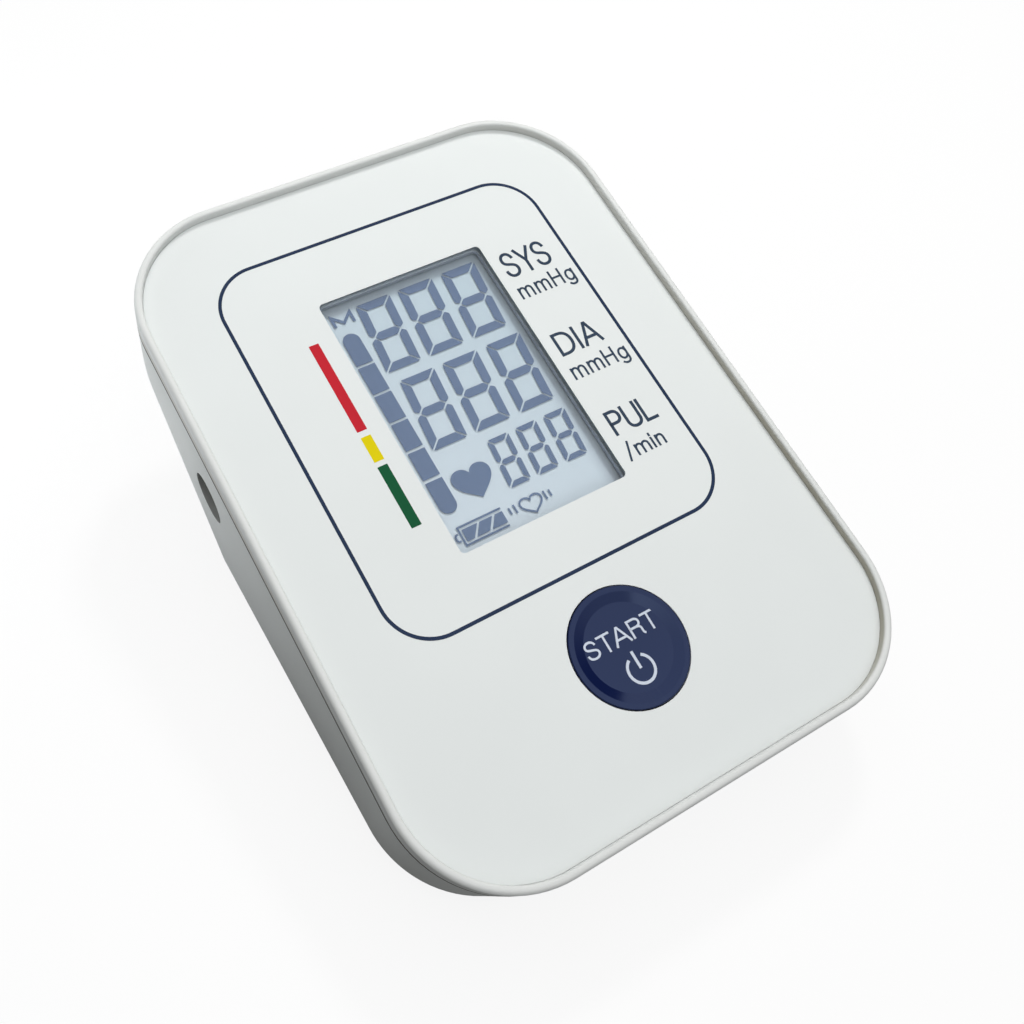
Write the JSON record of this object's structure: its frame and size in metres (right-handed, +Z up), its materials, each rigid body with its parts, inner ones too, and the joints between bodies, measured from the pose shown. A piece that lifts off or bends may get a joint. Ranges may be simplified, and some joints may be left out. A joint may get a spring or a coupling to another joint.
{
  "type": "upper-arm blood pressure monitor",
  "caption": "Wedge-shaped desk unit of an upper-arm blood pressure monitor: raised rim, flat face with segment display, round push button, air socket for the cuff's hose.",
  "frame": {"origin": "middle of the footprint, on the surface that the feet stand on", "axes": "+Z up, +Y from the user's side to the rear along the length, +X to the user's right"},
  "size_m": [0.1046, 0.1398, 0.0544],
  "materials": {
    "shell_white": "fine matte moulded",
    "panel_grey": "satin, printed",
    "clear_pane": "clear",
    "display_glass": "clear, printed cells",
    "reflector": "satin film",
    "button_blue": "satin gloss",
    "frame_white": "moulded",
    "strip_rubber": "elastic strip with dark core",
    "board_green": "solder mask",
    "chip_black": "moulded epoxy",
    "capacitor_sleeve": "shrunk sleeve, bare top",
    "buzzer_black": "moulded",
    "sensor_white": "moulded",
    "switch_black": "moulded",
    "plunger_grey": "moulded",
    "motor_can": "drawn and plated can",
    "pump_plastic": "moulded",
    "sleeve_rubber": "soft",
    "valve_metal": "plated",
    "bleed_rubber": "soft",
    "air_plastic": "moulded",
    "tube_rubber": "soft",
    "socket_plastic": "moulded",
    "gasket_foam": "closed-cell foam",
    "seal_rubber": "smooth",
    "jack_black": "moulded",
    "cell_can": "plain sleeve, bare ends",
    "contact_metal": "nickel plated",
    "screw_steel": "plated",
    "foot_rubber": "soft"
  },
  "bodies": {
    "housing": {"air_manifold": "air_plastic", "air_socket": "socket_plastic", "analog_chip": "chip_black", "battery_1": "cell_can", "battery_2": "cell_can", "battery_3": "cell_can", "battery_4": "cell_can", "bleed_valve": "bleed_rubber", "board_capacitors": "capacitor_sleeve", "board_screws": "screw_steel", "bottom_case": "shell_white", "buzzer": "buzzer_black", "case_screws": "screw_steel", "contact_strips": "strip_rubber", "controller_chip": "chip_black", "dc_jack": "jack_black", "display_frame": "frame_white", "display_gasket": "gasket_foam", "display_window": "clear_pane", "exhaust_valve": "valve_metal", "foot_front_left": "foot_rubber", "foot_front_right": "foot_rubber", "foot_rear_left": "foot_rubber", "foot_rear_right": "foot_rubber", "front_panel": "panel_grey", "lcd_glass": "display_glass", "lcd_reflector": "reflector", "main_board": "board_green", "plate_contacts": "contact_metal", "pressure_sensor": "sensor_white", "pump_head": "pump_plastic", "pump_motor": "motor_can", "pump_sleeve": "sleeve_rubber", "pump_tube": "tube_rubber", "sensor_tube": "tube_rubber", "socket_seal": "seal_rubber", "socket_tube": "tube_rubber", "spring_contacts": "contact_metal", "switch_body": "switch_black", "top_case": "shell_white"},
    "button": {"start_button": "button_blue"},
    "plunger": {"switch_plunger": "plunger_grey"},
    "cover": {"battery_cover": "shell_white"}
  },
  "joints": [
    {"name": "button_press", "type": "slide", "parent": "housing", "child": "button", "axis": [0, 0.2079, -0.9781], "range_m": [0, 0.0006], "stiffness_N_per_m": 2500, "springref_m": -0.0003},
    {"name": "plunger_press", "type": "slide", "parent": "housing", "child": "plunger", "axis": [0, 0.2079, -0.9781], "range_m": [0, 0.0006]},
    {"name": "cover_slide", "type": "slide", "parent": "housing", "child": "cover", "axis": [0, 1, 0], "range_m": [0, 0.065]}
  ],
  "couplings": [
    {"joint": "plunger_press", "follows": "button_press", "ratio": 1}
  ]
}
